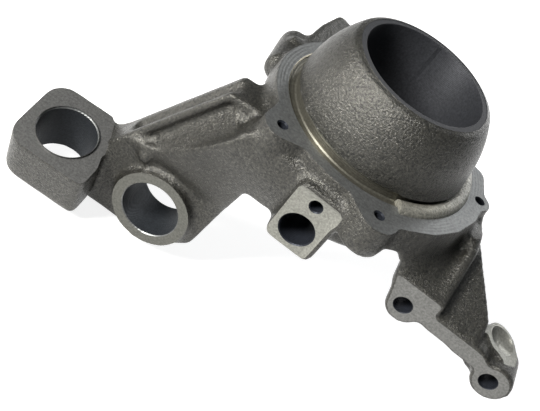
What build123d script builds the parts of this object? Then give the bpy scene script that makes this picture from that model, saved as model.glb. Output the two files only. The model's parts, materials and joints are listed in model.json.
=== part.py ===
from build123d import *
from math import cos, hypot, radians, sin, tan
import os

# Steering knuckle: one iron casting with machined seats.
# Millimetres. The origin is the centre of the hub barrel's mouth, +Z runs out of the mouth
# along the wheel axis, and -Y is the side that the sensor, the bush and the ears face.

# Hub barrel, turned outside only at the mouth
seat_radius = 36.0
seat_depth = 50.0
rim_width = 6.0
rim_chamfer = 1.2
barrel_swell = 8.2
barrel_swell_depth = 16.0
barrel_flare = 3.8
barrel_length = 38.0

# Rear body of the hub, shoulder and rear bore
shoulder_width = 3.5
shoulder_thickness = 5.0
rear_bore_radius = 37.5
body_wall = 12.5
body_length = 93.0
body_chamfer = 5.0

# Shield flange: turned face round a spigot, with three screw lobes
flange_drop = 43.0
flange_thickness = 15.0
flange_draft = 5.0
spigot_step = 1.5
flange_width = 12.5
recess_width = 4.0
recess_depth = 1.2
shield_circle_radius = 69.2
shield_angle_left = -128.4
shield_angle_front = -71.1
shield_angle_right = 3.4
lobe_left_radius = 10.5
lobe_front_radius = 12.0
lobe_right_radius = 7.0
lobe_front_height = 20.0
lobe_front_draft = 2.0
lobe_root_radius = 45.0
shield_tap_radius = 2.5
shield_tap_depth = 13.0
fan_radius = 72.5
fan_corner = 6.0
fan_start = -58.0
fan_end = 22.0
fan_fall = 0.5
fan_steps = 4
fan_draft = 10.0

# Rough cast ring left beside the turned spigot
cast_ring_radius = 5.0
cast_ring_start = -61.0
cast_ring_sweep = 99.0

# Bush at the foot of the left arm
bush_x = -73.5
bush_z = -147.4
bush_bore_radius = 17.5
bush_ring_width = 6.9
bush_wall = 9.5
bush_face = 51.4
bush_length = 31.0

# Eye block at the end of the left arm, tilted to its ball pin
eye_x = -136.6
eye_y = -48.7
eye_z = -141.1
eye_lean_front = 11.7
eye_lean_side = -5.1
eye_bore_radius = 17.5
eye_height = 32.0
eye_wall = 8.0
eye_front_wall = 7.5
eye_rear_wall = 11.0
eye_right_wall = 9.5
eye_round_corner = 13.0
eye_small_corner = 4.0
eye_foot_chamfer = 3.5

# Left arm: thin web, top rib and a thick column, outlines wrapped round circles
arm_back = 20.4
arm_front = 45.0
web_front = 29.5
rib_front = 44.0
rib_thickness = 4.2
rib_low_x = -113.2
rib_low_z = -132.2
rib_high_x = -73.1
rib_high_z = -57.0
foot_reach = 20.0
foot_drop = 4.8
foot_radius = 10.0
valley_top_radius = 12.0
valley_top_x = -46.0
valley_top_z = -64.0
valley_low_x = -76.0
valley_low_z = -118.5
valley_end_x = -98.0
valley_end_z = -127.5
valley_floor = 36.0
valley_rise = 20.0
valley_width = 15.0
valley_sag = 3.0
arm_end_x = -109.5
arm_end_z = -156.0
arm_end_radius = 19.5
hub_side_x = -50.0
hub_side_z = -86.0
bulge_radius = 10.0
bulge_right_x = -26.0
column_top_front = 60.0
column_bulge_front = 65.0
column_bulge_z = -62.0
column_knee_front = 55.5
column_knee_z = -95.0
column_shin_front = 48.0
column_shin_z = -116.0
column_shin_end_z = -142.0
nub_x = -93.0
nub_z = -121.0
nub_radius = 5.5
nub_front = 47.5

# Sensor pad on the front of the hub body
pad_face = 69.0
pad_width = 29.0
pad_offset = 1.0
pad_above_screw = 9.5
pad_below_bore = 4.3
pad_corner = 5.0
pad_draft = 4.0
pad_depth = 30.0
sensor_x = -4.5
sensor_z = -79.5
sensor_bore_radius = 9.7
sensor_screw_rise = 19.2
sensor_screw_radius = 3.4
sensor_screw_depth = 18.0

# Right bracket: band with two tapped ears
ear_face = 58.0
ear_near_x = 65.8
ear_near_z = -85.2
ear_far_x = 128.4
ear_far_z = -91.4
ear_radius = 10.8
ear_far_shift = 1.6
ear_near_shift = 1.2
ear_tap_radius = 5.25
ear_tap_depth = 34.0
band_depth = 22.0
band_left_x = 49.5
band_high_z = -69.0
band_low_z = -78.0
band_step_x = 83.0
band_right_x = 116.0
band_under_z = -90.0
band_edge_rounding = 1.2

# Gusset, rib and plate between the flange and the band
gusset_set_back = 3.0
gusset_back = 32.0
rib_crest_x = 83.0
crest_width = 6.0
crest_draft = 6.0
crest_top_z = -53.0
crest_top_front = 21.0
crest_end_front = 14.0
plate_right_x = 110.0
plate_shoulder_front = 40.0
plate_end_x = 76.0
plate_end_front = 4.0
plate_end_radius = 8.0
plate_end_z = -57.0
plate_top_z = -50.0
shoulder_x = 73.5

# Dished boss behind the far ear
dish_x = 123.5
dish_y = -38.0
dish_z = -78.5
dish_lean = 12.0
dish_boss_radius = 11.2
dish_boss_length = 22.5
dish_radius = 9.0
dish_depth = 2.5

# Rear lugs behind the flange
lug_bar_radius = 9.0
lug_bar_x = -63.2
lug_bar_z = -57.3
lug_bar_start = 3.0
lug_bar_length = 46.0
lug_bar_turn = 4.4
lug_bar_sink = 3.9
lug_bar_nub_radius = 3.5
lug_bar_nub_rise = 0.5
lug_nub_x = -66.0
lug_tab_top = -48.0
lug_tab_thickness = 13.0
lug_tab_x = -54.0
lug_tab_y = 61.0
lug_tab_radius = 7.0
lug_tab_tip_x = -52.5
lug_tab_tip_y = 82.5
lug_tab_tip_radius = 4.0
lug_tab_root_x = -24.0
lug_tab_root_y = 68.0

# Clearances of the cutting tools past the faces that they cut
tool_over = 20.0
joint_overlap = 2.0

# Sizes that follow
rim_radius = seat_radius + rim_width
barrel_waist_radius = rim_radius + barrel_swell
barrel_base_radius = barrel_waist_radius + barrel_flare
spigot_radius = barrel_base_radius - spigot_step
flange_radius = spigot_radius + flange_width
body_radius = rear_bore_radius + body_wall
shoulder_radius = seat_radius - shoulder_width
shoulder_back = seat_depth + shoulder_thickness
flange_back = flange_drop + flange_thickness
bulge_low_z = -body_length + bulge_radius + joint_overlap
bush_ring_radius = bush_bore_radius + bush_ring_width
bush_wall_radius = bush_bore_radius + bush_wall
eye_plane = Plane(Location((eye_x, eye_y, eye_z), (eye_lean_front, eye_lean_side, 0)))
lug_plane = Plane(Location((lug_bar_x, lug_bar_start, lug_bar_z), (90 - lug_bar_sink, lug_bar_turn, 0)))
rib_run = rib_high_x - rib_low_x
rib_climb = rib_high_z - rib_low_z
valley_plane = Plane((rib_low_x, 0, rib_low_z), (rib_climb, 0, -rib_run), (rib_run, 0, rib_climb))
dish_plane = Plane(Location((dish_x, dish_y, dish_z), (0, dish_lean, 0)))


def screw_place(angle, radius=shield_circle_radius):
    """Point on a circle round the wheel axis"""
    return (radius * cos(radians(angle)), radius * sin(radians(angle)))


def wrapped_plate(plane, depth, circles, draft=0):
    """Plate of an outline wrapped tightly round circles given as centre and radius"""
    with BuildSketch(plane) as wrapped:
        for across, up, radius in circles:
            with Locations((across, up)):
                Circle(radius)
        make_hull()
    extrude(wrapped.sketch, amount=depth, taper=draft)


# Hub blank: barrel and rear body, one turned form
with BuildPart() as hub_blank:
    with BuildSketch(Plane.XZ) as hub_section:
        with BuildLine() as hub_outline:
            ThreePointArc(
                (rim_radius, 0),
                (barrel_waist_radius, -barrel_swell_depth),
                (barrel_base_radius, -barrel_length),
            )
            Polyline(
                (barrel_base_radius, -barrel_length),
                (spigot_radius, -barrel_length),
                (spigot_radius, -flange_back),
                (body_radius, -flange_back),
                (body_radius, -body_length),
                (0, -body_length),
                (0, 0),
                (rim_radius, 0),
            )
        make_face()
    revolve(axis=Axis.Z)
    rings = hub_blank.edges().filter_by(GeomType.CIRCLE).sort_by(Axis.Z)
    chamfer(rings[-1], length=rim_chamfer)
    rings = hub_blank.edges().filter_by(GeomType.CIRCLE).sort_by(Axis.Z)
    chamfer(rings[0], length=body_chamfer)

# Shield flange: drafted disc and lobes, with a fan between the front lobe and the right lobe
with BuildPart() as flange_blank:
    for angle, lobe_radius in (
        (shield_angle_left, lobe_left_radius),
        (shield_angle_front, lobe_front_radius),
        (shield_angle_right, lobe_right_radius),
    ):
        wrapped_plate(
            Plane.XY.offset(-flange_drop),
            -flange_thickness,
            ((0, 0, lobe_root_radius), (*screw_place(angle), lobe_radius)),
            -flange_draft,
        )
    with BuildSketch(Plane.XY.offset(-flange_drop)):
        Circle(flange_radius)
    extrude(amount=-flange_thickness, taper=-flange_draft)
    fan_angle = (shield_angle_right - fan_start) / fan_steps
    fan_reach = fan_radius - fan_corner
    fan = [(*screw_place(fan_start + step * fan_angle, fan_reach), fan_corner) for step in range(fan_steps + 1)]
    fan.append((*screw_place(fan_end, fan_reach - fan_fall), fan_corner))
    wrapped_plate(Plane.XY.offset(-flange_drop), -flange_thickness, [(0, 0, lobe_root_radius)] + fan, -fan_draft)
    with BuildSketch(Plane.XY.offset(-flange_drop)):
        with Locations(screw_place(shield_angle_front)):
            Circle(lobe_front_radius)
    extrude(amount=-lobe_front_height, taper=-lobe_front_draft)

# Rough ring left as cast beside the turned spigot
with BuildPart() as ring_blank:
    with BuildSketch(Plane.XZ):
        with Locations((spigot_radius + cast_ring_radius, -flange_drop - recess_depth)):
            Circle(cast_ring_radius)
    revolve(axis=Axis.Z, revolution_arc=cast_ring_sweep)

# Column and foot of the left arm, seen from the front
with BuildPart() as column_blank:
    column_depth = column_bulge_front + joint_overlap - arm_back
    column_circles = (
        (valley_top_x, valley_top_z, valley_top_radius),
        (valley_low_x, valley_low_z, valley_top_radius),
        (bush_x + foot_reach, bush_z - foot_drop, foot_radius),
        (bush_x, bush_z, bush_wall_radius),
        (hub_side_x, hub_side_z, valley_top_radius),
    )
    foot_circles = (
        (valley_low_x, valley_low_z, valley_top_radius),
        (valley_end_x, valley_end_z, valley_top_radius),
        (arm_end_x, arm_end_z, arm_end_radius),
        (bush_x, bush_z, bush_wall_radius),
    )
    bulge_circles = (
        (valley_top_x, valley_top_z + joint_overlap, valley_top_radius),
        (hub_side_x, bulge_low_z, bulge_radius),
        (bulge_right_x, bulge_low_z, bulge_radius),
        (bulge_right_x, valley_top_z + joint_overlap, bulge_radius),
    )
    for circles in (column_circles, foot_circles, bulge_circles):
        wrapped_plate(Plane.XZ.offset(arm_back), column_depth, circles)
    # Hollow slope from the foot of the rib up to the front of the column
    with BuildSketch(valley_plane):
        with BuildLine():
            ThreePointArc(
                (0, -valley_floor),
                (valley_width / 2, -valley_floor - valley_rise / 2 + valley_sag),
                (valley_width, -valley_floor - valley_rise),
            )
            Polyline(
                (valley_width, -valley_floor - valley_rise),
                (valley_width, -arm_back),
                (0, -arm_back),
                (0, -valley_floor),
            )
        make_face()
    extrude(amount=hypot(rib_run, rib_climb))
    with BuildSketch(Plane.YZ.offset(eye_x)):
        with BuildLine():
            Spline(
                (-column_top_front, -flange_drop - joint_overlap),
                (-column_bulge_front, column_bulge_z),
                (-column_knee_front, column_knee_z),
                (-column_shin_front, column_shin_z),
                (-arm_front, column_shin_end_z),
                tangents=((-1, -1), (0, -1)),
            )
            Polyline(
                (-arm_front, column_shin_end_z),
                (-arm_front, eye_z - 2 * arm_end_radius),
                (-arm_back, eye_z - 2 * arm_end_radius),
                (-arm_back, -flange_drop - joint_overlap),
                (-column_top_front, -flange_drop - joint_overlap),
            )
        make_face()
    extrude(amount=-2 * eye_x, mode=Mode.INTERSECT)

# Thin web behind the valley, with the rib along its top
rib_radius = rib_thickness / 2
with BuildPart() as web_blank:
    web_circles = (
        (rib_low_x, rib_low_z, rib_radius),
        (rib_high_x, rib_high_z, rib_radius),
        (valley_top_x, valley_top_z, valley_top_radius),
        (bush_x, bush_z, bush_wall_radius),
    )
    wrapped_plate(Plane.XZ.offset(arm_back), web_front - arm_back, web_circles)
    rib_circles = ((rib_low_x, rib_low_z, rib_radius), (rib_high_x, rib_high_z, rib_radius))
    rib_end_circles = (
        (rib_high_x, rib_high_z, rib_radius),
        (valley_top_x, valley_top_z + valley_top_radius - rib_radius, rib_radius),
    )
    for circles in (rib_circles, rib_end_circles):
        wrapped_plate(Plane.XZ.offset(arm_back), rib_front - arm_back, circles)

# Small round nub at the low end of the valley
with BuildPart() as nub_blank:
    with BuildSketch(Plane.XZ.offset(arm_back)):
        with Locations((nub_x, nub_z)):
            Circle(nub_radius)
    extrude(amount=nub_front - arm_back)
    chamfer(nub_blank.faces().sort_by(Axis.Y)[0].edges(), length=nub_radius / 2)

# Bush boss, turned ring proud of the cast wall
with BuildPart() as bush_blank:
    with BuildSketch(Plane.XZ.offset(bush_face)):
        with Locations((bush_x, bush_z)):
            Circle(bush_ring_radius)
    extrude(amount=-bush_length)

# Eye block with three drafted cast sides and one side into the arm
eye_left = eye_bore_radius + eye_wall
eye_right = eye_bore_radius + eye_right_wall
eye_front = eye_bore_radius + eye_front_wall
eye_rear = eye_bore_radius + eye_rear_wall
with BuildPart() as eye_blank:
    with BuildSketch(eye_plane) as eye_outline:
        with BuildLine():
            Polyline(
                (-eye_left, -eye_front),
                (eye_right, -eye_front),
                (eye_right, -eye_bore_radius / 2),
                (eye_left - eye_small_corner, eye_bore_radius / 2),
                (eye_bore_radius - eye_small_corner, eye_rear),
                (-eye_left, eye_rear),
                (-eye_left, -eye_front),
            )
        make_face()
        fillet(eye_outline.vertices().group_by(Axis.X)[0], radius=eye_round_corner)
        fillet(eye_outline.vertices().sort_by(Axis.Y)[-1], radius=eye_round_corner)
        fillet(eye_outline.vertices().group_by(Axis.X)[-1].sort_by(Axis.Y)[0], radius=eye_small_corner)
    extrude(amount=-eye_height)
    chamfer(eye_blank.faces().sort_by(Axis.Z)[0].edges(), length=eye_foot_chamfer)

# Sensor pad: a drafted boss on the front of the hub body
pad_top = sensor_z + sensor_screw_rise + pad_above_screw
pad_bottom = sensor_z - sensor_bore_radius - pad_below_bore
with BuildPart() as pad_blank:
    with BuildSketch(Plane.XZ.offset(pad_face)):
        with Locations((sensor_x + pad_offset, (pad_top + pad_bottom) / 2)):
            RectangleRounded(pad_width, pad_top - pad_bottom, pad_corner)
    extrude(amount=-pad_depth, taper=-pad_draft)

# Right bracket: gusset from the fan of the flange down to the band
gusset_front = ear_face - gusset_set_back
fan_foot_radius = fan_radius + (flange_thickness - joint_overlap) * tan(radians(fan_draft)) - joint_overlap
gusset_start = screw_place(fan_start, fan_foot_radius)
gusset_middle = screw_place(fan_start / 2, fan_foot_radius)
gusset_end = screw_place(-shield_angle_right, fan_foot_radius)
with BuildPart() as gusset_blank:
    with BuildSketch(Plane.XY.offset(-flange_back + joint_overlap)):
        with BuildLine():
            ThreePointArc(gusset_start, gusset_middle, gusset_end)
            Polyline(
                gusset_end,
                (plate_end_x - 2 * plate_end_radius, -plate_end_front),
                (band_left_x, -gusset_back),
                gusset_start,
            )
        make_face()
    with BuildSketch(Plane.XY.offset(band_high_z)):
        with BuildLine():
            Polyline(
                (band_left_x + joint_overlap, -gusset_front),
                (rib_crest_x, -gusset_front),
                (rib_crest_x, -gusset_back),
                (band_left_x + joint_overlap, -gusset_back),
                (band_left_x + joint_overlap, -gusset_front),
            )
        make_face()
    loft(ruled=True)
    with BuildSketch(Plane.XY.offset(band_high_z)):
        with BuildLine():
            Polyline(
                (band_left_x + joint_overlap, -gusset_front),
                (rib_crest_x, -gusset_front),
                (rib_crest_x, -gusset_back),
                (band_left_x + joint_overlap, -gusset_back),
                (band_left_x + joint_overlap, -gusset_front),
            )
        make_face()
    extrude(amount=band_low_z - band_high_z)

# Crest rib from the shoulder of the flange down to the step of the band
with BuildPart() as crest_blank:
    with BuildSketch(Plane.YZ.offset(rib_crest_x)):
        with BuildLine():
            Polyline(
                (-gusset_front, band_high_z),
                (-crest_top_front, crest_top_z),
                (-crest_end_front, crest_top_z),
                (-crest_end_front, band_low_z),
                (-gusset_front, band_low_z),
                (-gusset_front, band_high_z),
            )
        make_face()
    extrude(amount=-crest_width, taper=-crest_draft)

# Sloping plate right of the crest, its edge running out to the far ear
with BuildPart() as plate_blank:
    with BuildSketch(Plane.XY.offset(plate_top_z)):
        with BuildLine():
            Polyline(
                (rib_crest_x - crest_width, -ear_face + joint_overlap),
                (plate_right_x, -ear_face + joint_overlap),
                (plate_right_x, -plate_shoulder_front),
                (plate_end_x + plate_end_radius, -plate_end_front),
                (plate_end_x - plate_end_radius, -plate_end_front),
                (rib_crest_x - crest_width, -gusset_back),
                (rib_crest_x - crest_width, -ear_face + joint_overlap),
            )
        make_face()
    extrude(amount=band_under_z + joint_overlap - plate_top_z)
    with BuildSketch(Plane.YZ.offset(rib_crest_x - crest_width)):
        with BuildLine():
            Polyline(
                (-ear_face, band_low_z),
                (-plate_end_front, plate_end_z),
                (-plate_end_front, band_low_z),
                (-plate_shoulder_front, band_under_z + joint_overlap),
                (-ear_face, band_under_z + joint_overlap),
                (-ear_face, band_low_z),
            )
        make_face()
    extrude(amount=plate_right_x, mode=Mode.INTERSECT)
    shoulder_circles = (
        (*screw_place(shield_angle_right), plate_end_radius),
        (shoulder_x, -plate_end_front - plate_end_radius, plate_end_radius),
    )
    wrapped_plate(Plane.XY.offset(plate_top_z), band_high_z - plate_top_z, shoulder_circles, -lobe_front_draft)

# Band with its two ears, one flat face across both
with BuildPart() as band_blank:
    with BuildSketch(Plane.XZ.offset(ear_face)):
        with BuildLine():
            Polyline(
                (band_left_x, band_high_z),
                (band_step_x, band_high_z),
                (band_step_x, band_low_z),
                (band_right_x, band_low_z),
                (ear_far_x + ear_radius, ear_far_z),
                (ear_far_x, band_under_z - joint_overlap),
                (ear_near_x, band_under_z + joint_overlap),
                (ear_near_x + ear_near_shift - ear_radius, ear_near_z - ear_near_shift),
                (band_left_x, band_high_z),
            )
        make_face()
        with Locations((ear_near_x + ear_near_shift, ear_near_z - ear_near_shift)):
            Circle(ear_radius)
        with Locations((ear_far_x + ear_far_shift, ear_far_z)):
            Circle(ear_radius + band_edge_rounding)
    extrude(amount=-band_depth)

# Dished boss behind the far ear
with BuildPart() as dish_blank:
    with BuildSketch(dish_plane):
        Circle(dish_boss_radius)
    extrude(amount=-dish_boss_length)

# Rear lugs: a round bar with a nub, and a flat tab
with BuildPart() as lug_blank:
    with BuildSketch(lug_plane):
        Circle(lug_bar_radius)
    extrude(amount=-lug_bar_length)
    bar_ends = lug_blank.edges().filter_by(GeomType.CIRCLE).sort_by(Axis.Y)
    chamfer(bar_ends[0], length=lug_bar_radius / 2)
    fillet(lug_blank.edges().filter_by(GeomType.CIRCLE).sort_by(Axis.Y)[-1], radius=lug_bar_radius * 2 / 3)
    with BuildSketch(Plane.XY.offset(lug_bar_z)):
        with Locations((lug_nub_x, lug_bar_start + lug_bar_length - 2 * lug_bar_radius)):
            Circle(lug_bar_nub_radius)
    extrude(amount=lug_bar_radius + lug_bar_nub_rise)
    tab_circles = (
        (lug_tab_x, lug_tab_y, lug_tab_radius),
        (lug_tab_tip_x, lug_tab_tip_y, lug_tab_tip_radius),
        (lug_tab_root_x, lug_tab_root_y, lug_tab_radius),
        (lug_tab_root_x, lug_bar_start, lug_tab_radius),
        (lug_bar_x + lug_bar_radius, lug_bar_start + lug_bar_radius, lug_bar_radius),
    )
    wrapped_plate(Plane.XY.offset(lug_tab_top), -lug_tab_thickness, tab_circles)

# The casting, then everything that is machined into it
with BuildPart() as steering_knuckle:
    add(hub_blank.part)
    add(flange_blank.part)
    add(column_blank.part)
    add(web_blank.part)
    add(nub_blank.part)
    add(bush_blank.part)
    add(eye_blank.part)
    add(pad_blank.part)
    add(gusset_blank.part)
    add(crest_blank.part)
    add(plate_blank.part)
    add(band_blank.part)
    add(dish_blank.part)
    add(lug_blank.part)
    # Turned recess round the spigot
    with BuildSketch(Plane.XY.offset(-flange_drop)):
        Circle(spigot_radius + recess_width)
        Circle(spigot_radius, mode=Mode.SUBTRACT)
    extrude(amount=-recess_depth, mode=Mode.SUBTRACT)
    add(ring_blank.part, rotation=(0, 0, cast_ring_start))
    # Facing cut over the eye
    with BuildSketch(eye_plane):
        with BuildLine():
            Polyline(
                (-2 * eye_left, -2 * eye_front),
                (eye_right, -2 * eye_front),
                (eye_right, -eye_bore_radius / 2),
                (eye_left - eye_small_corner, eye_bore_radius / 2),
                (eye_bore_radius - eye_small_corner, eye_rear),
                (-2 * eye_left, 2 * eye_rear),
                (-2 * eye_left, -2 * eye_front),
            )
        make_face()
    extrude(amount=tool_over, mode=Mode.SUBTRACT)
    # Bearing seat, shoulder and rear bore, turned from both ends
    with BuildSketch(Plane.XY):
        Circle(seat_radius)
    extrude(amount=-seat_depth, mode=Mode.SUBTRACT)
    with BuildSketch(Plane.XY):
        Circle(shoulder_radius)
    extrude(amount=-body_length, mode=Mode.SUBTRACT)
    with BuildSketch(Plane.XY.offset(-shoulder_back)):
        Circle(rear_bore_radius)
    extrude(amount=-body_length, mode=Mode.SUBTRACT)
    # Bush bore and eye bore
    with BuildSketch(Plane.XZ.offset(bush_face)):
        with Locations((bush_x, bush_z)):
            Circle(bush_bore_radius)
    extrude(amount=-bush_face, mode=Mode.SUBTRACT)
    with BuildSketch(eye_plane):
        Circle(eye_bore_radius)
    extrude(amount=-eye_height - tool_over, mode=Mode.SUBTRACT)
    # Sensor bore through the wall, and its blind screw hole
    with BuildSketch(Plane.XZ.offset(pad_face)):
        with Locations((sensor_x, sensor_z)):
            Circle(sensor_bore_radius)
    extrude(amount=shoulder_radius - pad_face, mode=Mode.SUBTRACT)
    with BuildSketch(Plane.XZ.offset(pad_face)):
        with Locations((sensor_x, sensor_z + sensor_screw_rise)):
            Circle(sensor_screw_radius)
    extrude(amount=-sensor_screw_depth, mode=Mode.SUBTRACT)
    # Tapped ears
    with BuildSketch(Plane.XZ.offset(ear_face)):
        with Locations((ear_near_x, ear_near_z), (ear_far_x, ear_far_z)):
            Circle(ear_tap_radius)
    extrude(amount=-ear_tap_depth, mode=Mode.SUBTRACT)
    # Shield screws
    with BuildSketch(Plane.XY.offset(-flange_drop)):
        with Locations(
            screw_place(shield_angle_left), screw_place(shield_angle_front), screw_place(shield_angle_right)
        ):
            Circle(shield_tap_radius)
    extrude(amount=-shield_tap_depth, mode=Mode.SUBTRACT)
    # Dish turned into its boss
    with BuildSketch(dish_plane):
        Circle(dish_radius)
    extrude(amount=-dish_depth, taper=tool_over, mode=Mode.SUBTRACT)

os.makedirs("parts", exist_ok=True)
steering_knuckle.part.label = "steering_knuckle"
export_step(steering_knuckle.part, "parts/steering_knuckle.step")
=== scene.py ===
import json
import math

import bpy
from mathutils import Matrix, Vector

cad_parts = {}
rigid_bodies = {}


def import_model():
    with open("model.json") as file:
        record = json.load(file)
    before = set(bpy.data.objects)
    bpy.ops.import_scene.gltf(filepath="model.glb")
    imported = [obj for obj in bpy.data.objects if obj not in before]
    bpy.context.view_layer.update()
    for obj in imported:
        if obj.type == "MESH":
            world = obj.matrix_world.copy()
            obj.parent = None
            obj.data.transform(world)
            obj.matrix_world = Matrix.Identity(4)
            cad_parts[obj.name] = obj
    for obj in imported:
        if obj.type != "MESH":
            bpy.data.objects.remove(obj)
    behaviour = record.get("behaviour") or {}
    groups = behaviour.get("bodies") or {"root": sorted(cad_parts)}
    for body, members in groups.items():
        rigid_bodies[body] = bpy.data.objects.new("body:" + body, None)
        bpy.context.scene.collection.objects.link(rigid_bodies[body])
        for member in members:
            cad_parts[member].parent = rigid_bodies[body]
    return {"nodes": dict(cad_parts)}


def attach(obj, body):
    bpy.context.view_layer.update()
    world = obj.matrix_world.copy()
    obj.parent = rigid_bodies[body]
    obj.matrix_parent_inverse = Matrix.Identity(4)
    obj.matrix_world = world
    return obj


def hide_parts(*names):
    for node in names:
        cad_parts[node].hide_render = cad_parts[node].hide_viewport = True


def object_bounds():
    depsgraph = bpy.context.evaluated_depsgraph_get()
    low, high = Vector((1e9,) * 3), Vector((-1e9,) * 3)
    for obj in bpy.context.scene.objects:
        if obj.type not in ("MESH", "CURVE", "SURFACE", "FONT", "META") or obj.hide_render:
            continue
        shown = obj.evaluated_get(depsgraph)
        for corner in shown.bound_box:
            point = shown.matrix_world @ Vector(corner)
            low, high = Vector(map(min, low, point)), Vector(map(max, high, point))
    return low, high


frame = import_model()
cad_box = [list(corner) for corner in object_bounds()]

# The camera.
# It looks down on the knuckle from the sensor's side, rolled, as in the photograph: the barrel's mouth
# is at the upper right and the eye of the arm at the left.
bpy.ops.object.select_all(action="DESELECT")
bpy.ops.object.camera_add(
    location=(-0.043993, -0.469896, 0.242717),
    rotation=(math.radians(44.118), math.radians(-29.717), math.radians(24.077)),
)
camera = bpy.context.active_object
camera.name = "camera"
camera.data.sensor_width = 36
camera.data.lens = 66.667
bpy.context.scene.camera = camera

# The raw casting.
# One piece of iron poured in sand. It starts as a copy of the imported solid, and gets machining stock on
# the faces that a cutter dresses later, so that their edges come out crisp and all others soft.
merge = 0.000001
stock = 0.0014
same_way = 0.999
same_level = 0.0002
flange_z = -0.043
pad_y = -0.069
bush_y = -0.0514
band_y = -0.058
eye_centre = Vector((-0.1366, -0.0487, -0.1411))
eye_turn = (math.radians(11.745), math.radians(-4.993), math.radians(-1.037))
eye_axis = Vector((-0.08889, -0.20199, 0.97534))
dish_lean = math.radians(12)
dish_centre = Vector((0.1235, -0.038, -0.0785))
dish_turn = (0, dish_lean, 0)
dish_axis = Vector((math.sin(dish_lean), 0, math.cos(dish_lean)))
packed = frame["nodes"]["steering_knuckle"]


def copy_packed(name):
    """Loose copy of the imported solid, selected and active, with its doubles still in it"""
    bpy.ops.object.select_all(action="DESELECT")
    piece = packed.copy()
    piece.data = packed.data.copy()
    piece.name = name
    piece.parent = None
    for key in list(piece.keys()):
        del piece[key]
    piece.data.materials.clear()
    bpy.context.scene.collection.objects.link(piece)
    bpy.context.view_layer.objects.active = piece
    piece.select_set(True)
    bpy.ops.mesh.customdata_custom_splitnormals_clear()
    return piece


casting = copy_packed("knuckle_casting")
bpy.ops.object.mode_set(mode="EDIT")
bpy.ops.mesh.select_all(action="SELECT")
bpy.ops.mesh.remove_doubles(threshold=merge)
bpy.ops.object.mode_set(mode="OBJECT")


def finish_modifier(kind, **settings):
    """Adds one modifier to the casting and applies it"""
    bpy.context.view_layer.objects.active = casting
    added = casting.modifiers.new("step", kind)
    for setting, value in settings.items():
        setattr(added, setting, value)
    bpy.ops.object.modifier_apply(modifier=added.name)


def on_plane(face, point, axis):
    """True for a face that lies in the plane through the point square to the axis"""
    return face.normal.dot(axis) > same_way and abs((face.center - point).dot(axis)) < same_level


def raise_faces(point, axis):
    """Puts machining stock on the faces in the plane through the point square to the axis"""
    bpy.ops.object.mode_set(mode="EDIT")
    bpy.ops.mesh.select_mode(type="FACE")
    bpy.ops.mesh.select_all(action="DESELECT")
    bpy.ops.object.mode_set(mode="OBJECT")
    for face in casting.data.polygons:
        face.select = on_plane(face, point, axis)
    bpy.ops.object.mode_set(mode="EDIT")
    bpy.ops.mesh.extrude_region_move(TRANSFORM_OT_translate={"value": tuple(stock * axis)})
    bpy.ops.object.mode_set(mode="OBJECT")


up = Vector((0, 0, 1))
front = Vector((0, -1, 0))
for face_z in (0, flange_z):
    raise_faces(Vector((0, 0, face_z)), up)
for face_y in (pad_y, bush_y):
    raise_faces(Vector((0, face_y, 0)), front)
raise_faces(eye_centre, eye_axis)
raise_faces(dish_centre, dish_axis)

# The rib's channel.
# A shallow trough along the top of the arm's rib, as the pattern left it between two thin ridges.
rib_top_low = Vector((-0.1085, -0.0335, -0.1190))
rib_top_high = Vector((-0.0730, -0.0335, -0.0524))
channel_thick = 0.0070
channel_wide = 0.0105
bpy.ops.object.select_all(action="DESELECT")
bpy.ops.mesh.primitive_cube_add(size=1, location=(rib_top_low + rib_top_high) / 2)
channel = bpy.context.active_object
rib_run = rib_top_high - rib_top_low
channel.dimensions = (channel_thick, channel_wide, rib_run.length)
channel.rotation_euler = (0, math.atan2(rib_run.x, rib_run.z), 0)
finish_modifier("BOOLEAN", operation="DIFFERENCE", object=channel, solver="EXACT")
bpy.data.objects.remove(channel)

# The cores.
# Every bore is filled for now, so that the sand skin closes over it and the cutter opens it again. The core
# of a through bore stops a little short of the bore's far end, and that of a blind tapped hole goes a little
# past its foot.
upright = (0, 0, 0)
forward = (math.radians(90), 0, 0)
hub_mouth = (0, 0, 0)
hub_radius = 0.036
hub_depth = 0.05
shoulder_radius = 0.0325
shoulder_foot = 0.055
rear_radius = 0.0375
rear_foot = 0.093
bush_mouth = (-0.0735, bush_y, -0.1474)
bush_radius = 0.0175
bush_foot = 0.031
eye_radius = 0.0175
eye_foot = 0.0364
sensor_mouth = (-0.0045, pad_y, -0.0795)
sensor_radius = 0.0097
sensor_foot = 0.034
sensor_core_foot = 0.030
sensor_screw_mouth = (-0.0045, pad_y, -0.0603)
sensor_screw_radius = 0.0034
sensor_screw_foot = 0.018
near_ear_mouth = (0.0658, band_y, -0.0852)
near_ear_foot = 0.022
far_ear_mouth = (0.1284, band_y, -0.0914)
far_ear_foot = 0.031
ear_tap_radius = 0.00525
shield_circle = 0.0692
shield_tap_radius = 0.0025
shield_tap_foot = 0.013
dish_core_radius = 0.0093
dish_core_foot = 0.0027
shield_mouths = []
for angle in (-128.4, -71.1, 3.4):
    turned = math.radians(angle)
    shield_mouths.append((shield_circle * math.cos(turned), shield_circle * math.sin(turned), flange_z))
core_play = 0.0001
core_short = 0.0003
core_past = 0.0005
rear_core_drop = 0.002
cores = []


def add_core(mouth, turn, radius, depth, proud):
    """Closes a bore from its foot up to the top of the stock"""
    bpy.ops.object.select_all(action="DESELECT")
    bpy.ops.mesh.primitive_cylinder_add(
        vertices=64, radius=radius - core_play, depth=depth + proud, rotation=turn
    )
    core = bpy.context.active_object
    core.location = Vector(mouth) + core.rotation_euler.to_matrix() @ Vector((0, 0, (proud - depth) / 2))
    cores.append(core)


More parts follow.
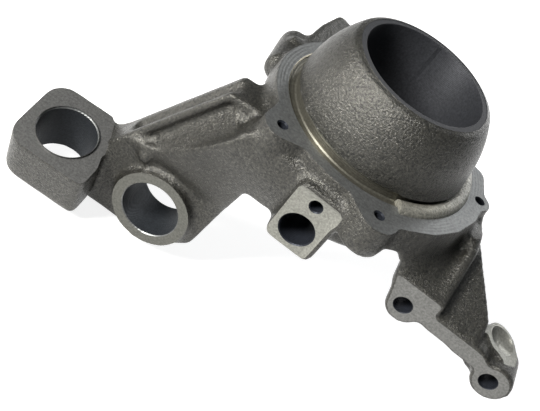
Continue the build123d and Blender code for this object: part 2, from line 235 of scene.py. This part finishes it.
add_core(hub_mouth, upright, rear_radius, rear_foot - core_short, -rear_core_drop)
add_core(hub_mouth, upright, hub_radius, hub_depth, stock)
add_core(bush_mouth, forward, bush_radius, bush_foot - core_short, stock)
add_core(eye_centre, eye_turn, eye_radius, eye_foot - core_short, stock)
add_core(sensor_mouth, forward, sensor_radius, sensor_core_foot, stock)
add_core(sensor_screw_mouth, forward, sensor_screw_radius, sensor_screw_foot + core_past, stock)
add_core(near_ear_mouth, forward, ear_tap_radius, near_ear_foot - core_short, 0)
add_core(far_ear_mouth, forward, ear_tap_radius, far_ear_foot - core_short, 0)
for mouth in shield_mouths:
    add_core(mouth, upright, shield_tap_radius, shield_tap_foot + core_past, stock)
add_core(dish_centre, dish_turn, dish_core_radius, dish_core_foot, stock)

# The valley's fill and the nub.
# Iron that flowed round the upper end of the arm's valley, and the small round nub near its lower end. Both
# are poured in one with the rest, so they join the casting together with the cores.
valley_fills = ((0.0075, (-0.0645, -0.0325, -0.0615)), (0.0062, (-0.0625, -0.0385, -0.0600)))
nub_radius = 0.0037
nub_length = 0.012
nub_middle = (-0.093, -0.0435, -0.121)
for radius, middle in valley_fills:
    bpy.ops.object.select_all(action="DESELECT")
    bpy.ops.mesh.primitive_uv_sphere_add(segments=48, ring_count=24, radius=radius, location=middle)
    cores.append(bpy.context.active_object)
bpy.ops.object.select_all(action="DESELECT")
bpy.ops.mesh.primitive_cylinder_add(
    vertices=48, radius=nub_radius, depth=nub_length, location=nub_middle, rotation=forward
)
cores.append(bpy.context.active_object)
bpy.ops.object.select_all(action="DESELECT")
for core in cores:
    core.select_set(True)
casting.select_set(True)
bpy.context.view_layer.objects.active = casting
bpy.ops.object.join()

# The sand skin.
# The mould rounds inner corners wide and outer corners tighter: the skin is swelled, closed over the
# narrow corners and shrunk back, and then softened.
fillet = 0.0016
fine = 0.0012
for swell in (fillet, -fillet):
    finish_modifier("REMESH", mode="VOXEL", voxel_size=fine)
    finish_modifier("SMOOTH", factor=0.5, iterations=2)
    finish_modifier("DISPLACE", strength=swell, mid_level=0)
finish_modifier("REMESH", mode="VOXEL", voxel_size=fine)
finish_modifier("SMOOTH", factor=0.5, iterations=3)
finish_modifier("DECIMATE", ratio=0.5)

# The cast finish.
# Iron as it leaves the shot blast: dark, dull and sandy. The grain that the mould's sand pressed into it is
# worked out once, as height and as light and dark specks.
grain = bpy.data.node_groups.new("sand_grain", "ShaderNodeTree")
grain.interface.new_socket("Vector", in_out="INPUT", socket_type="NodeSocketVector")
grain.interface.new_socket("Height", in_out="OUTPUT", socket_type="NodeSocketFloat")
grain.interface.new_socket("Specks", in_out="OUTPUT", socket_type="NodeSocketFloat")
grain_in = grain.nodes.new("NodeGroupInput")
grain_out = grain.nodes.new("NodeGroupOutput")
sand = grain.nodes.new("ShaderNodeTexNoise")
sand.inputs["Scale"].default_value = 800
sand.inputs["Detail"].default_value = 4
sand.inputs["Roughness"].default_value = 0.65
ripple = grain.nodes.new("ShaderNodeTexNoise")
ripple.inputs["Scale"].default_value = 130
ripple.inputs["Detail"].default_value = 3
ripple_share = grain.nodes.new("ShaderNodeMath")
ripple_share.operation = "MULTIPLY"
ripple_share.inputs[1].default_value = 0.9
both = grain.nodes.new("ShaderNodeMath")
both.operation = "ADD"
speck_range = grain.nodes.new("ShaderNodeMapRange")
speck_range.inputs["From Min"].default_value = 0.35
speck_range.inputs["From Max"].default_value = 0.7
grain.links.new(grain_in.outputs["Vector"], sand.inputs["Vector"])
grain.links.new(grain_in.outputs["Vector"], ripple.inputs["Vector"])
grain.links.new(ripple.outputs["Fac"], ripple_share.inputs[0])
grain.links.new(sand.outputs["Fac"], both.inputs[0])
grain.links.new(ripple_share.outputs["Value"], both.inputs[1])
grain.links.new(both.outputs["Value"], grain_out.inputs["Height"])
grain.links.new(sand.outputs["Fac"], speck_range.inputs["Value"])
grain.links.new(speck_range.outputs["Result"], grain_out.inputs["Specks"])

cast_iron = bpy.data.materials.new("cast_iron")
cast_iron.use_nodes = True
nodes = cast_iron.node_tree.nodes
links = cast_iron.node_tree.links
shader = nodes["Principled BSDF"]
shader.inputs["Metallic"].default_value = 0.6
shader.inputs["Specular IOR Level"].default_value = 0.8
place = nodes.new("ShaderNodeTexCoord")
skin = nodes.new("ShaderNodeGroup")
skin.node_tree = grain
tone = nodes.new("ShaderNodeMix")
tone.data_type = "RGBA"
tone.inputs["A"].default_value = (0.008, 0.008, 0.0075, 1)
tone.inputs["B"].default_value = (0.062, 0.06, 0.051, 1)
dull = nodes.new("ShaderNodeMapRange")
dull.inputs["To Min"].default_value = 0.42
dull.inputs["To Max"].default_value = 0.24
bumps = nodes.new("ShaderNodeBump")
bumps.inputs["Strength"].default_value = 1
bumps.inputs["Distance"].default_value = 0.00065
links.new(place.outputs["Object"], skin.inputs["Vector"])
links.new(skin.outputs["Specks"], tone.inputs["Factor"])
links.new(tone.outputs["Result"], shader.inputs["Base Color"])
links.new(skin.outputs["Specks"], dull.inputs["Value"])
links.new(dull.outputs["Result"], shader.inputs["Roughness"])
links.new(skin.outputs["Height"], bumps.inputs["Height"])
links.new(bumps.outputs["Normal"], shader.inputs["Normal"])
casting.data.materials.clear()
casting.data.materials.append(cast_iron)

# The same skin lightened into a painted highlight, for the rough ring and the bead at the barrel's foot
iron_painted_highlight = cast_iron.copy()
iron_painted_highlight.name = "iron_painted_highlight"
painted_highlight_tone = iron_painted_highlight.node_tree.nodes[tone.name]
painted_highlight_tone.inputs["A"].default_value = (0.12, 0.118, 0.105, 1)
painted_highlight_tone.inputs["B"].default_value = (0.36, 0.35, 0.3, 1)

# The machined finishes.
# Bare iron with the marks of the cutter that dressed it: rings on a face and bands in a bore, both about
# the tool's own axis and as far apart as its feed.
marks = bpy.data.node_groups.new("cutter_marks", "ShaderNodeTree")
marks.interface.new_socket("Vector", in_out="INPUT", socket_type="NodeSocketVector")
marks.interface.new_socket("Pitch", in_out="INPUT", socket_type="NodeSocketFloat")
marks.interface.new_socket("Height", in_out="OUTPUT", socket_type="NodeSocketFloat")
marks_in = marks.nodes.new("NodeGroupInput")
marks_out = marks.nodes.new("NodeGroupOutput")
split = marks.nodes.new("ShaderNodeSeparateXYZ")
flat = marks.nodes.new("ShaderNodeCombineXYZ")
reach = marks.nodes.new("ShaderNodeVectorMath")
reach.operation = "LENGTH"
climb = marks.nodes.new("ShaderNodeMath")
climb.operation = "ADD"
turns = marks.nodes.new("ShaderNodeMath")
turns.operation = "DIVIDE"
wander = marks.nodes.new("ShaderNodeTexNoise")
wander.inputs["Scale"].default_value = 160
wander.inputs["Detail"].default_value = 2
sway = marks.nodes.new("ShaderNodeMath")
sway.operation = "MULTIPLY_ADD"
sway.inputs[1].default_value = 2.5
wave = marks.nodes.new("ShaderNodeMath")
wave.operation = "SINE"
marks.links.new(marks_in.outputs["Vector"], split.inputs["Vector"])
marks.links.new(split.outputs["X"], flat.inputs["X"])
marks.links.new(split.outputs["Y"], flat.inputs["Y"])
marks.links.new(flat.outputs["Vector"], reach.inputs[0])
marks.links.new(reach.outputs["Value"], climb.inputs[0])
marks.links.new(split.outputs["Z"], climb.inputs[1])
marks.links.new(climb.outputs["Value"], turns.inputs[0])
marks.links.new(marks_in.outputs["Pitch"], turns.inputs[1])
marks.links.new(marks_in.outputs["Vector"], wander.inputs["Vector"])
marks.links.new(wander.outputs["Fac"], sway.inputs[0])
marks.links.new(turns.outputs["Value"], sway.inputs[2])
marks.links.new(sway.outputs["Value"], wave.inputs[0])
marks.links.new(wave.outputs["Value"], marks_out.inputs["Height"])


def cut_iron(name, mouth, turn, pitch, colour, roughness, metallic=0.75):
    """Bare iron cut by a tool that turns about its own axis at the mouth"""
    bare = bpy.data.materials.new(name)
    bare.use_nodes = True
    nodes = bare.node_tree.nodes
    links = bare.node_tree.links
    shader = nodes["Principled BSDF"]
    shader.inputs["Metallic"].default_value = metallic
    shader.inputs["Specular IOR Level"].default_value = 0.12
    shader.inputs["Roughness"].default_value = roughness
    place = nodes.new("ShaderNodeTexCoord")
    about = nodes.new("ShaderNodeMapping")
    about.vector_type = "TEXTURE"
    about.inputs["Location"].default_value = mouth
    about.inputs["Rotation"].default_value = turn
    cutter = nodes.new("ShaderNodeGroup")
    cutter.node_tree = marks
    cutter.inputs["Pitch"].default_value = pitch
    wear = nodes.new("ShaderNodeGroup")
    wear.node_tree = grain
    tone = nodes.new("ShaderNodeMix")
    tone.data_type = "RGBA"
    for socket, share in (("A", 0.72), ("B", 1.25)):
        tone.inputs[socket].default_value = (*(share * part for part in colour), 1)
    bumps = nodes.new("ShaderNodeBump")
    bumps.inputs["Strength"].default_value = 0.6
    bumps.inputs["Distance"].default_value = 0.00004
    links.new(place.outputs["Object"], wear.inputs["Vector"])
    links.new(wear.outputs["Specks"], tone.inputs["Factor"])
    links.new(tone.outputs["Result"], shader.inputs["Base Color"])
    links.new(place.outputs["Object"], about.inputs["Vector"])
    links.new(about.outputs["Vector"], cutter.inputs["Vector"])
    links.new(cutter.outputs["Height"], bumps.inputs["Height"])
    links.new(bumps.outputs["Normal"], shader.inputs["Normal"])
    return bare


# The near black of the hub's bore is painted shade
hub_bore_painted_shade = cut_iron("hub_bore_painted_shade", hub_mouth, upright, 0.00012, (0.02, 0.021, 0.024), 0.5, 0.35)
turned_face = cut_iron("turned_face", hub_mouth, upright, 0.0003, (0.15, 0.155, 0.155), 0.4)
# The pale gold of the recess lip is a painted highlight
lip_painted_highlight = cut_iron("lip_painted_highlight", hub_mouth, upright, 0.00009, (0.62, 0.58, 0.47), 0.26)
turned_recess = cut_iron("turned_recess", hub_mouth, upright, 0.00022, (0.11, 0.106, 0.088), 0.32)
turned_bush = cut_iron("turned_bush", bush_mouth, forward, 0.00026, (0.1, 0.1, 0.09), 0.36)
turned_dish = cut_iron("turned_dish", dish_centre, dish_turn, 0.00013, (0.22, 0.22, 0.2), 0.3)
# The dark bluish colour of the bush's and the eye's bores is painted shade
bore_painted_shade = cut_iron("bore_painted_shade", eye_centre, eye_turn, 0.00012, (0.022, 0.025, 0.029), 0.5, 0.5)
# The dark bluish colour in the drilled holes is painted shade
drill_painted_shade = cut_iron("drill_painted_shade", hub_mouth, upright, 0.0002, (0.015, 0.017, 0.022), 0.45, 0.4)

# A face mill turns about an axis beside the face, so that its marks cross the face as wide arcs
eye_mill_axis = (-0.1366, 0.05, -0.1411)
pad_mill_axis = (0.06, pad_y, -0.07)
band_mill_axis = (0.1, band_y, -0.01)
milled_eye = cut_iron("milled_eye", eye_mill_axis, eye_turn, 0.00014, (0.12, 0.12, 0.118), 0.45)
milled_pad = cut_iron("milled_pad", pad_mill_axis, forward, 0.00014, (0.2, 0.2, 0.18), 0.42)
milled_band = cut_iron("milled_band", band_mill_axis, forward, 0.00016, (0.14, 0.14, 0.135), 0.45)

# The turned and drilled seats.
# Each tool is turned to the true size of its seat, stands at the seat's mouth and takes the stock off the
# casting. Its material stays on the face that it cuts.
tools = bpy.data.collections.new("tools")
bpy.context.scene.collection.children.link(tools)
bar_foot = 0.045
bar_top = 0.006
hub_bar_foot = 0.105
hub_lip_wide = 0.0006
hub_lip_deep = 0.0008
rear_lip = 0.001
rim_inner = 0.0398
bush_lip = 0.0009
lip_inner = 0.0170
bush_lip_outer = 0.0182
eye_lip_outer = 0.0180
bush_face_inner = 0.0165
bush_face_outer = 0.0285
bush_facer_top = 0.005
drill_top = 0.005
drill_lip = 0.0006
ear_drill_foot = 0.036
ear_tap_mouth = 0.006
shield_tap_mouth = 0.0033


def shelve_tool(tool, name, metal):
    """Keeps a tool in the rack with its place in its mesh"""
    tool.name = name
    tool.data.materials.clear()
    tool.data.materials.append(metal)
    bpy.ops.object.transform_apply(location=True, rotation=True, scale=True)
    for home in list(tool.users_collection):
        home.objects.unlink(tool)
    tools.objects.link(tool)


def extrude_ring(step, share, height):
    """Carries the selected ring on by the step and widens it by the share at its new height"""
    bpy.ops.mesh.extrude_region_move(TRANSFORM_OT_translate={"value": (0, 0, step)})
    bpy.ops.transform.resize(value=(share, share, 1), center_override=(0, 0, height))


def turned_tool(name, metal, mouth, turn, steps, profile):
    """Solid of revolution whose profile of (radius, height) runs up its own axis from the foot"""
    bpy.ops.object.select_all(action="DESELECT")
    foot_radius, foot = profile[0]
    bpy.ops.mesh.primitive_circle_add(
        vertices=steps, radius=foot_radius, fill_type="NGON", location=(0, 0, foot)
    )
    tool = bpy.context.active_object
    bpy.ops.object.transform_apply(location=True)
    bpy.ops.object.mode_set(mode="EDIT")
    bpy.ops.mesh.select_all(action="SELECT")
    for (radius, height), (next_radius, next_height) in zip(profile, profile[1:]):
        extrude_ring(next_height - height, next_radius / radius, next_height)
    bpy.ops.mesh.select_all(action="SELECT")
    bpy.ops.mesh.normals_make_consistent(inside=False)
    bpy.ops.object.mode_set(mode="OBJECT")
    tool.location = mouth
    tool.rotation_euler = turn
    shelve_tool(tool, name, metal)


turned_tool(
    "hub_bar",
    hub_bore_painted_shade,
    hub_mouth,
    upright,
    192,
    (
        (rear_radius + rear_lip, -hub_bar_foot),
        (rear_radius + rear_lip, -rear_foot),
        (rear_radius, -rear_foot + rear_lip),
        (rear_radius, -shoulder_foot),
        (shoulder_radius, -shoulder_foot),
        (shoulder_radius, -hub_depth),
        (hub_radius, -hub_depth),
        (hub_radius, -hub_lip_deep),
        (hub_radius + hub_lip_wide, 0),
        (rim_inner, 0),
        (rim_inner, bar_top),
    ),
)
turned_tool(
    "rim_file",
    cast_iron,
    hub_mouth,
    upright,
    192,
    (
        (0.0300, 0.0004),
        (0.0396, 0.0004),
        (0.0400, 0),
        (0.0412, -0.0004),
        (0.0424, -0.0011),
        (0.0433, -0.0020),
        (0.060, 0.0055),
        (0.060, 0.008),
    ),
)
turned_tool(
    "bush_bar",
    bore_painted_shade,
    bush_mouth,
    forward,
    128,
    (
        (bush_radius + bush_lip, -bar_foot),
        (bush_radius + bush_lip, -bush_foot),
        (bush_radius, -bush_foot + bush_lip),
        (bush_radius, bar_top),
    ),
)
turned_tool(
    "bush_lip",
    turned_face,
    bush_mouth,
    forward,
    128,
    ((lip_inner, -0.0010), (bush_lip_outer, 0.0002), (bush_lip_outer, bar_top)),
)
turned_tool(
    "bush_facer",
    turned_bush,
    bush_mouth,
    forward,
    128,
    ((bush_face_inner, 0), (bush_face_outer, 0), (bush_face_outer, bush_facer_top)),
)
turned_tool(
    "eye_bar",
    bore_painted_shade,
    eye_centre,
    eye_turn,
    128,
    ((eye_radius, -bar_foot), (eye_radius, bar_top)),
)
turned_tool(
    "eye_lip",
    turned_face,
    eye_centre,
    eye_turn,
    128,
    ((lip_inner, -0.0006), (eye_lip_outer, 0.0004), (eye_lip_outer, bar_top)),
)
for name, mouth, radius, foot, steps in (
    ("sensor_drill", sensor_mouth, sensor_radius, sensor_foot, 96),
    ("sensor_screw_drill", sensor_screw_mouth, sensor_screw_radius, sensor_screw_foot, 48),
):
    turned_tool(
        name,
        drill_painted_shade,
        mouth,
        forward,
        steps,
        ((radius, -foot), (radius, -drill_lip), (radius + drill_lip, 0), (radius + drill_lip, drill_top)),
    )
for name, mouth in (("near_ear_drill", near_ear_mouth), ("far_ear_drill", far_ear_mouth)):
    turned_tool(
        name,
        drill_painted_shade,
        mouth,
        forward,
        64,
        (
            (ear_tap_radius, -ear_drill_foot),
            (ear_tap_radius, -0.0005),
            (ear_tap_mouth, 0.0002),
            (ear_tap_mouth, drill_top),
        ),
    )
for side, mouth in zip(("left", "front", "right"), shield_mouths):
    turned_tool(
        "shield_drill_" + side,
        drill_painted_shade,
        mouth,
        upright,
        48,
        (
            (shield_tap_radius, -shield_tap_foot),
            (shield_tap_radius, -0.0007),
            (shield_tap_mouth, 0),
            (shield_tap_mouth, 0.003),
        ),
    )
turned_tool(
    "dish_cutter",
    turned_dish,
    dish_centre,
    dish_turn,
    64,
    ((0.001, -0.0030), (0.0050, -0.0024), (0.0078, -0.0010), (0.0088, 0), (0.0150, 0), (0.0150, 0.004)),
)

# The milled faces.
# The sensor pad and the band of the bracket are dressed by a face mill with rounded corners, and the eye by
# one a little wider than its own face.
mill_corner = 0.0065
eye_mill_rise = 0.005
eye_mill_share = 1.04
for name, metal, low, high in (
    ("pad_mill", milled_pad, Vector((-0.028, -0.0735, -0.102)), Vector((0.0113, pad_y, -0.0503))),
    ("band_mill", milled_band, Vector((0.038, -0.064, -0.112)), Vector((0.150, -0.0578, -0.0625))),
):
    bpy.ops.object.select_all(action="DESELECT")
    bpy.ops.mesh.primitive_cube_add(size=1, location=(low + high) / 2)
    mill = bpy.context.active_object
    mill.dimensions = high - low
    bpy.context.view_layer.update()
    bpy.ops.object.transform_apply(location=True, rotation=True, scale=True)
    for edge in mill.data.edges:
        start, end = (mill.data.vertices[index].co for index in edge.vertices)
        edge.select = abs(start.y - end.y) > 0.001
    bpy.ops.object.mode_set(mode="EDIT")
    bpy.ops.mesh.select_mode(type="EDGE")
    bpy.ops.mesh.bevel(offset=mill_corner, segments=6, affect="EDGES")
    bpy.ops.object.mode_set(mode="OBJECT")
    shelve_tool(mill, name, metal)
eye_mill = copy_packed("eye_mill")
bpy.ops.object.mode_set(mode="EDIT")
bpy.ops.mesh.select_mode(type="FACE")
bpy.ops.mesh.select_all(action="DESELECT")
bpy.ops.object.mode_set(mode="OBJECT")
for face in eye_mill.data.polygons:
    face.select = not on_plane(face, eye_centre, eye_axis)
bpy.ops.object.mode_set(mode="EDIT")
bpy.ops.mesh.delete(type="FACE")
bpy.ops.mesh.select_all(action="SELECT")
bpy.ops.mesh.remove_doubles(threshold=merge)
bpy.ops.mesh.select_all(action="SELECT")
bpy.ops.mesh.extrude_region_move(TRANSFORM_OT_translate={"value": tuple(eye_mill_rise * eye_axis)})
bpy.ops.mesh.select_all(action="SELECT")
bpy.ops.transform.resize(value=(eye_mill_share,) * 3, center_override=tuple(eye_centre))
bpy.ops.mesh.normals_make_consistent(inside=False)
bpy.ops.object.mode_set(mode="OBJECT")
shelve_tool(eye_mill, "eye_mill", milled_eye)

# The shield seat.
# The lathe turns the wide face for the dust shield, the recess beside the spigot, and its lip in painted
# highlight.
face_inner = 0.0575
face_outer = 0.0900
face_top = -0.0378
recess_inner = 0.0523
recess_outer = 0.0568
recess_floor = -0.0443
recess_chamfer = 0.0007
lathe_top = -0.0376
for name, metal, profile in (
    (
        "shield_lathe",
        turned_face,
        ((face_inner, flange_z), (face_outer, flange_z), (face_outer, face_top), (face_inner, face_top)),
    ),
    (
        "recess_lathe",
        turned_recess,
        (
            (recess_inner + recess_chamfer, recess_floor),
            (recess_outer, recess_floor),
            (recess_outer, lathe_top),
            (recess_inner, lathe_top),
            (recess_inner, recess_floor + recess_chamfer),
        ),
    ),
    (
        "recess_lip_lathe",
        lip_painted_highlight,
        ((0.0567, -0.0436), (0.0577, -0.0428), (0.0577, lathe_top), (0.0567, lathe_top)),
    ),
):
    bpy.ops.object.select_all(action="DESELECT")
    radius, height = profile[0]
    bpy.ops.mesh.primitive_circle_add(
        vertices=192, radius=radius, fill_type="NOTHING", location=(0, 0, height)
    )
    lathe = bpy.context.active_object
    bpy.ops.object.transform_apply(location=True)
    bpy.ops.object.mode_set(mode="EDIT")
    bpy.ops.mesh.select_mode(type="EDGE")
    bpy.ops.mesh.select_all(action="SELECT")
    for next_radius, next_height in (*profile[1:], profile[0]):
        extrude_ring(next_height - height, next_radius / radius, next_height)
        radius, height = next_radius, next_height
    bpy.ops.mesh.select_all(action="SELECT")
    bpy.ops.mesh.remove_doubles(threshold=0.000005)
    bpy.ops.mesh.select_all(action="SELECT")
    bpy.ops.mesh.normals_make_consistent(inside=False)
    bpy.ops.object.mode_set(mode="OBJECT")
    shelve_tool(lathe, name, metal)

bpy.ops.object.select_all(action="DESELECT")
casting.select_set(True)
finish_modifier(
    "BOOLEAN",
    operation="DIFFERENCE",
    operand_type="COLLECTION",
    collection=tools,
    solver="EXACT",
    material_mode="TRANSFER",
)
for tool in list(tools.objects):
    bpy.data.objects.remove(tool)
bpy.data.collections.remove(tools)

# The rough ring and the foot bead.
# The lathe leaves a thick ring as it was cast on one side of the spigot, and a thin bead of skin along
# the rest of the barrel's foot.
for name, middle_radius, bead_radius, height, first_angle, last_angle in (
    ("rough_ring", 0.0575, 0.0049, -0.0442, -61, 38),
    ("foot_bead", 0.0523, 0.0009, -0.0378, 30, 302),
):
    bpy.ops.object.select_all(action="DESELECT")
    bpy.ops.mesh.primitive_torus_add(
        major_radius=middle_radius,
        minor_radius=bead_radius,
        major_segments=240,
        minor_segments=24,
        location=(0, 0, height),
    )
    bead = bpy.context.active_object
    bead.name = name
    bpy.ops.object.transform_apply(location=True)
    bpy.ops.object.mode_set(mode="EDIT")
    bpy.ops.mesh.select_mode(type="VERT")
    bpy.ops.mesh.select_all(action="DESELECT")
    bpy.ops.object.mode_set(mode="OBJECT")
    for vertex in bead.data.vertices:
        angle = math.degrees(math.atan2(vertex.co.y, vertex.co.x))
        if angle < first_angle:
            angle += 360
        vertex.select = angle > last_angle
    bpy.ops.object.mode_set(mode="EDIT")
    bpy.ops.mesh.delete(type="VERT")
    bpy.ops.mesh.select_all(action="SELECT")
    bpy.ops.mesh.fill_holes(sides=0)
    bpy.ops.mesh.select_all(action="SELECT")
    bpy.ops.mesh.normals_make_consistent(inside=False)
    bpy.ops.object.mode_set(mode="OBJECT")
    # The ring and the bead take the lightened skin, a painted highlight
    bead.data.materials.append(iron_painted_highlight)
    bpy.ops.object.select_all(action="DESELECT")
    casting.select_set(True)
    finish_modifier("BOOLEAN", operation="UNION", object=bead, solver="EXACT", material_mode="TRANSFER")
    bpy.data.objects.remove(bead)

# The finished casting.
# Cut faces stay flat, cast skin is smooth, and every edge between a cut face and the skin is crisp.
crisp_angle = math.radians(38)
crumb = 0.00001
flat_way = 0.9995
bpy.ops.object.select_all(action="DESELECT")
casting.select_set(True)
bpy.context.view_layer.objects.active = casting
bpy.ops.object.mode_set(mode="EDIT")
bpy.ops.mesh.select_all(action="SELECT")
bpy.ops.mesh.remove_doubles(threshold=crumb)
bpy.ops.mesh.dissolve_degenerate(threshold=crumb)
bpy.ops.object.mode_set(mode="OBJECT")
bpy.ops.object.shade_smooth()
cutter_axes = (up, front, eye_axis.normalized(), dish_axis)
for face in casting.data.polygons:
    if face.material_index > 0 and any(face.normal.dot(axis) > flat_way for axis in cutter_axes):
        face.use_smooth = False
bpy.ops.object.mode_set(mode="EDIT")
bpy.ops.mesh.select_mode(type="EDGE")
bpy.ops.mesh.select_all(action="DESELECT")
bpy.ops.mesh.edges_select_sharp(sharpness=crisp_angle)
bpy.ops.mesh.mark_sharp()
for index in range(len(casting.material_slots)):
    bpy.ops.mesh.select_mode(type="FACE")
    bpy.ops.mesh.select_all(action="DESELECT")
    casting.active_material_index = index
    bpy.ops.object.material_slot_select()
    bpy.ops.mesh.region_to_loop()
    bpy.ops.mesh.mark_sharp()
bpy.ops.object.mode_set(mode="OBJECT")
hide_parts("steering_knuckle")
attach(casting, "root")

# The floor.
# A plain pale sheet under the part, white to the camera, which keeps only the soft shadow.
floor_size = 6
floor_gap = 0.002
floor_white = 0.82
bpy.ops.object.select_all(action="DESELECT")
bpy.ops.mesh.primitive_plane_add(size=floor_size, location=(0, 0, cad_box[0][2] - floor_gap))
floor = bpy.context.active_object
floor.name = "floor"
sheet = bpy.data.materials.new("pale_sheet")
sheet.use_nodes = True
nodes = sheet.node_tree.nodes
links = sheet.node_tree.links
nodes.remove(nodes["Principled BSDF"])
matt = nodes.new("ShaderNodeBsdfDiffuse")
matt.inputs["Color"].default_value = (0.5, 0.5, 0.5, 1)
glow = nodes.new("ShaderNodeEmission")
ray = nodes.new("ShaderNodeLightPath")
seen = nodes.new("ShaderNodeMath")
seen.operation = "ADD"
mirrored = nodes.new("ShaderNodeMath")
mirrored.operation = "ADD"
strength = nodes.new("ShaderNodeMath")
strength.operation = "MULTIPLY"
strength.inputs[1].default_value = floor_white
both = nodes.new("ShaderNodeAddShader")
links.new(ray.outputs["Is Camera Ray"], seen.inputs[0])
links.new(ray.outputs["Is Glossy Ray"], seen.inputs[1])
links.new(seen.outputs["Value"], mirrored.inputs[0])
links.new(ray.outputs["Is Transmission Ray"], mirrored.inputs[1])
links.new(mirrored.outputs["Value"], strength.inputs[0])
links.new(strength.outputs["Value"], glow.inputs["Strength"])
links.new(matt.outputs["BSDF"], both.inputs[0])
links.new(glow.outputs["Emission"], both.inputs[1])
links.new(both.outputs["Shader"], nodes["Material Output"].inputs["Surface"])
floor.data.materials.append(sheet)

# The light.
# One soft lamp high on the upper left of the view, a weaker and larger one low behind the casting, and a
# pale room.
for name, place, size, energy, colour, aim in (
    ("key_lamp", (-0.88, -0.86, 0.78), 0.5, 72, (1, 0.98, 0.94), Vector((0, 0, -0.08))),
    ("back_lamp", (0.4, 1.2, 0.3), 0.9, 8, (1, 1, 1), Vector((0, 0, -0.02))),
):
    bpy.ops.object.select_all(action="DESELECT")
    bpy.ops.object.light_add(type="AREA", location=place)
    lamp = bpy.context.active_object
    lamp.name = name
    lamp.data.size = size
    lamp.data.energy = energy
    lamp.data.color = colour
    lamp.rotation_euler = (aim - lamp.location).to_track_quat("-Z", "Y").to_euler()
world = bpy.data.worlds.new("room")
world.use_nodes = True
world.node_tree.nodes["Background"].inputs["Color"].default_value = (0.92, 0.97, 1, 1)
world.node_tree.nodes["Background"].inputs["Strength"].default_value = 0.21
bpy.context.scene.world = world
bpy.context.scene.view_settings.view_transform = "Standard"
